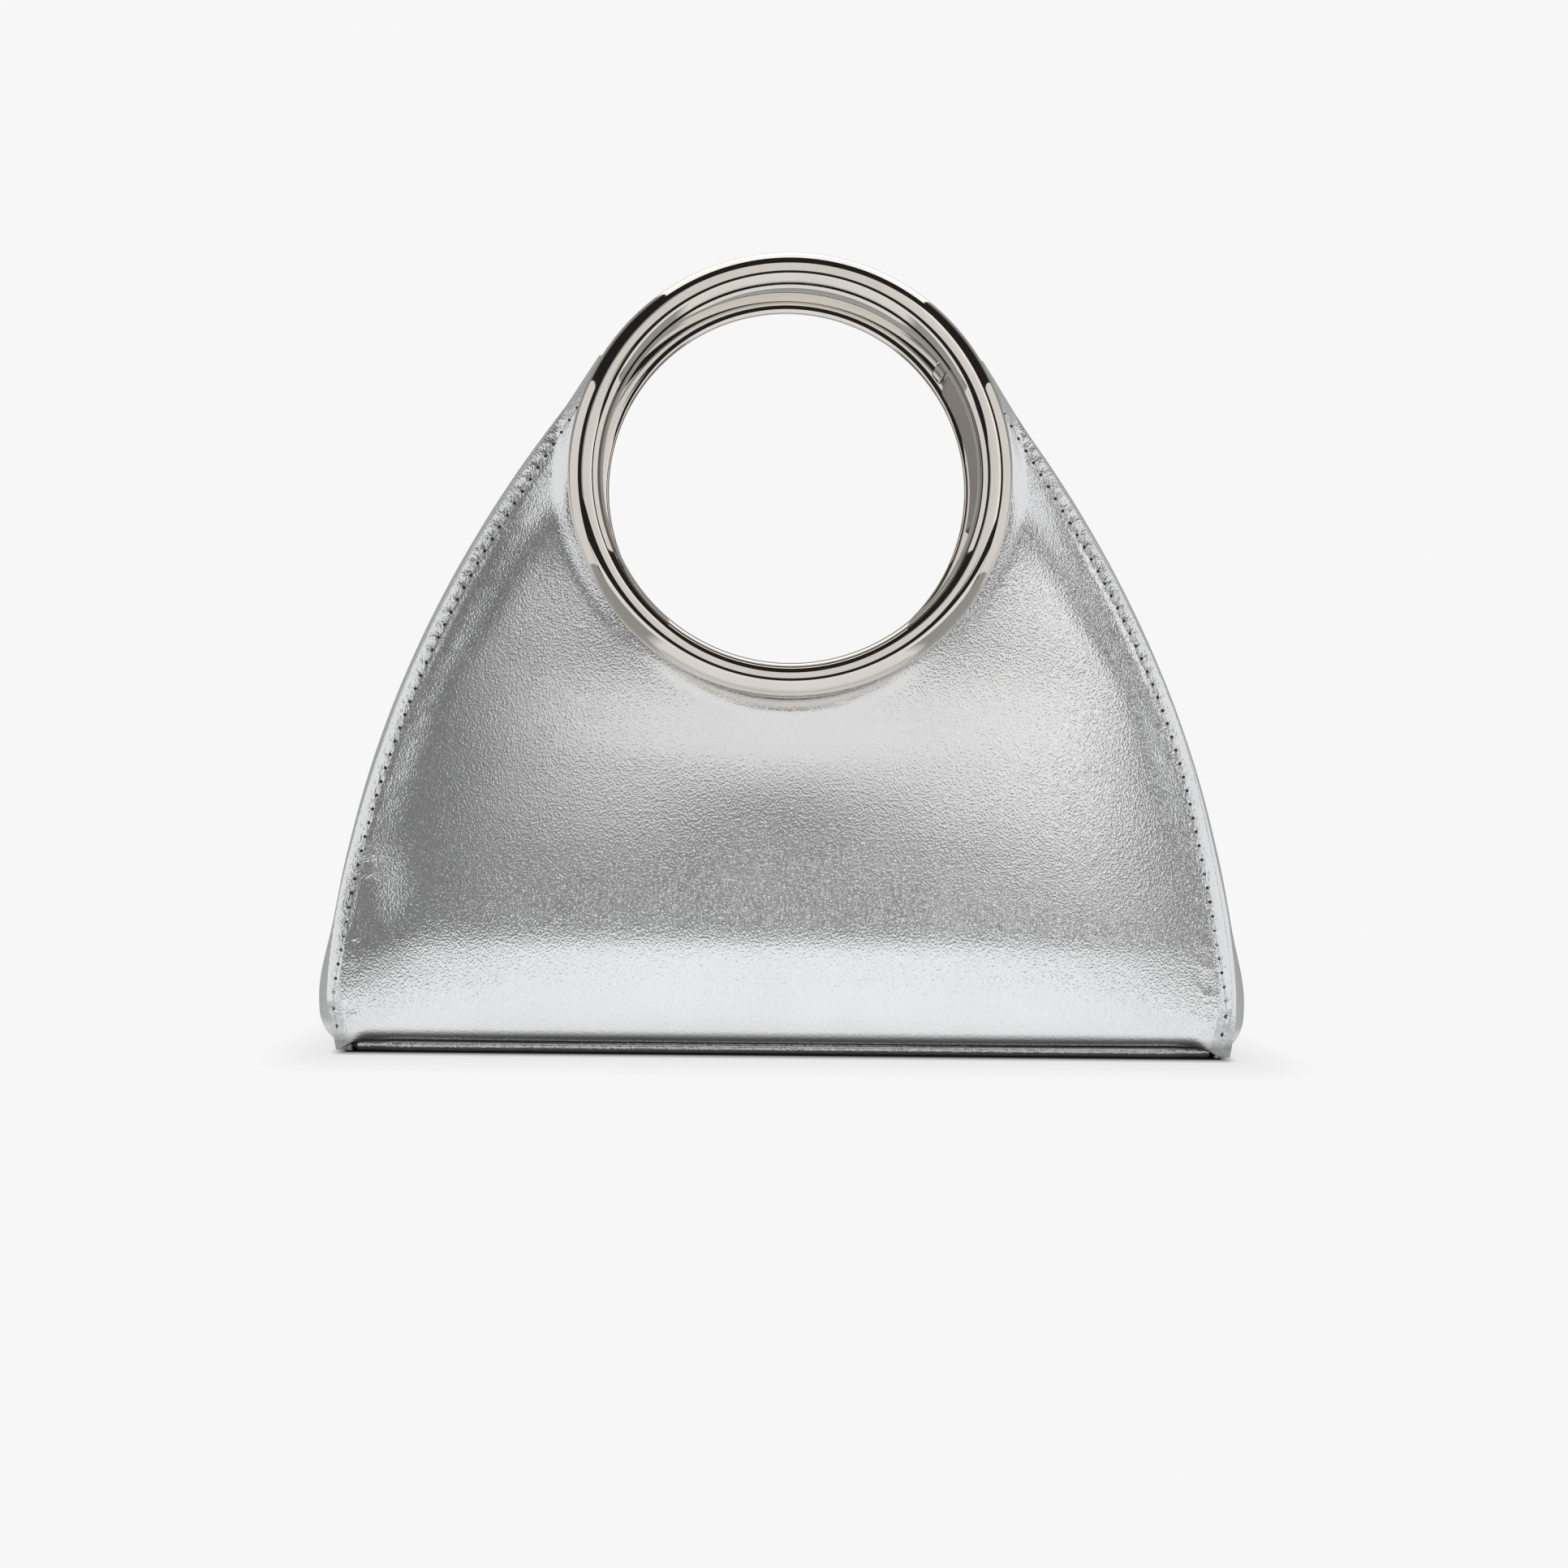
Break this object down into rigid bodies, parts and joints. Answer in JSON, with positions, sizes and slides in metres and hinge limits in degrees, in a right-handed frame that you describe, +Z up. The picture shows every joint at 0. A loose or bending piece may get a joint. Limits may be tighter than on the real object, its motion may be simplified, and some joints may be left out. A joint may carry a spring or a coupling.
{
  "type": "top handle clutch",
  "caption": "Soft silver leather clutch that stands on a flat base, with stitched side seams, gusseted sides and a round polished metal ring handle framing the hand hole and mouth.",
  "frame": {"origin": "middle of the underside of the base, on the surface that the bag stands on", "axes": "+X to the right along the bag's width, +Y from the front to the back, +Z up"},
  "size_m": [0.2584, 0.068, 0.218],
  "materials": {
    "silver_leather": "silver metallic coated leather with a fine pebbled grain",
    "polished_metal": "mirror polished nickel plate",
    "taupe_lining": "matte taupe lining"
  },
  "bodies": {
    "root": {"front_panel": "silver_leather", "back_panel": "silver_leather", "gusset_left": "silver_leather", "gusset_right": "silver_leather", "base": "silver_leather", "front_ring": "polished_metal", "rear_ring": "polished_metal", "facing_left": "taupe_lining", "facing_right": "taupe_lining", "ring_catch": "polished_metal"}
  },
  "joints": []
}
